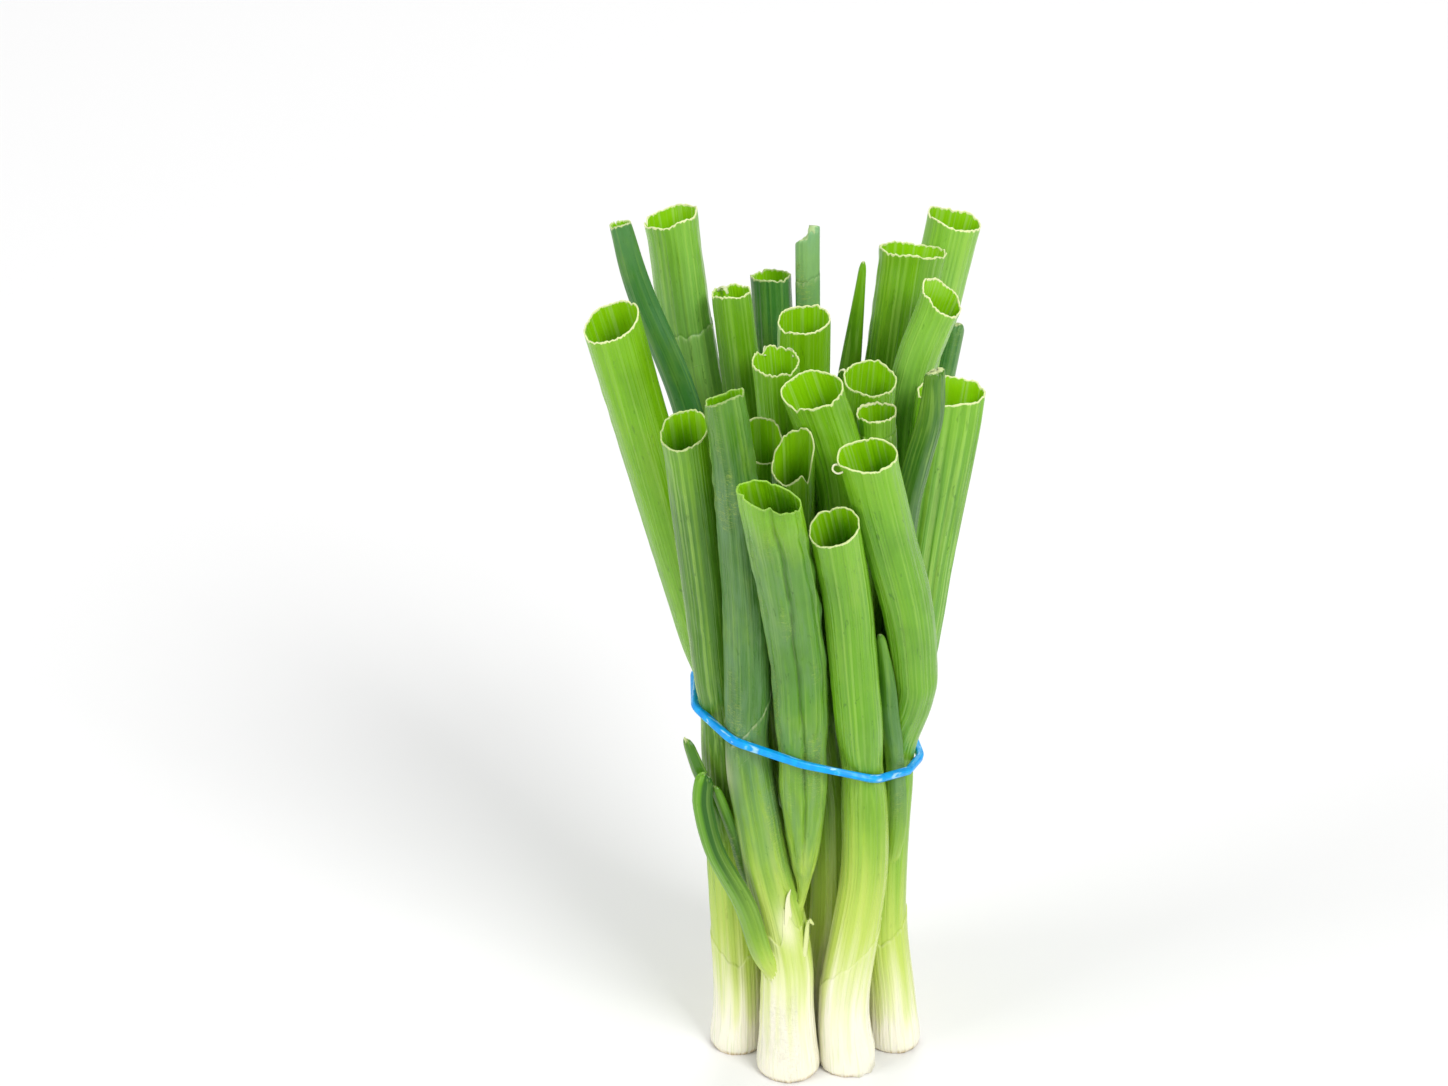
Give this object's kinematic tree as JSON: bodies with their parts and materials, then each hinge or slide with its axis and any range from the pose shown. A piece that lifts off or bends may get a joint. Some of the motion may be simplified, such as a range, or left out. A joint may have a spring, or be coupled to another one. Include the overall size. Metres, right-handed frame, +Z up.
{
  "type": "spring onion bunch",
  "caption": "Bunch of spring onions with white shanks and trimmed hollow green leaves, held upright by a stretched rubber band.",
  "frame": {"origin": "on the ground, under the middle of the bunch's box, in the plane of the cut root ends", "axes": "+Z up along the onions from the cut root ends to the open leaf ends, -Y towards the front of the bunch, +X to its right seen from the front"},
  "size_m": [0.1054, 0.1163, 0.2447],
  "materials": {
    "onion": "waxy skin, white at the root and green at the leaves",
    "band": "satin"
  },
  "bodies": {
    "root": {"onion_front_left": "onion", "onion_front_right": "onion", "onion_right_front": "onion", "onion_left_front": "onion", "onion_centre_front": "onion", "onion_left_back": "onion", "onion_centre_back": "onion", "onion_right_back": "onion", "onion_back_left": "onion", "onion_back_right": "onion", "rubber_band": "band"}
  },
  "joints": []
}
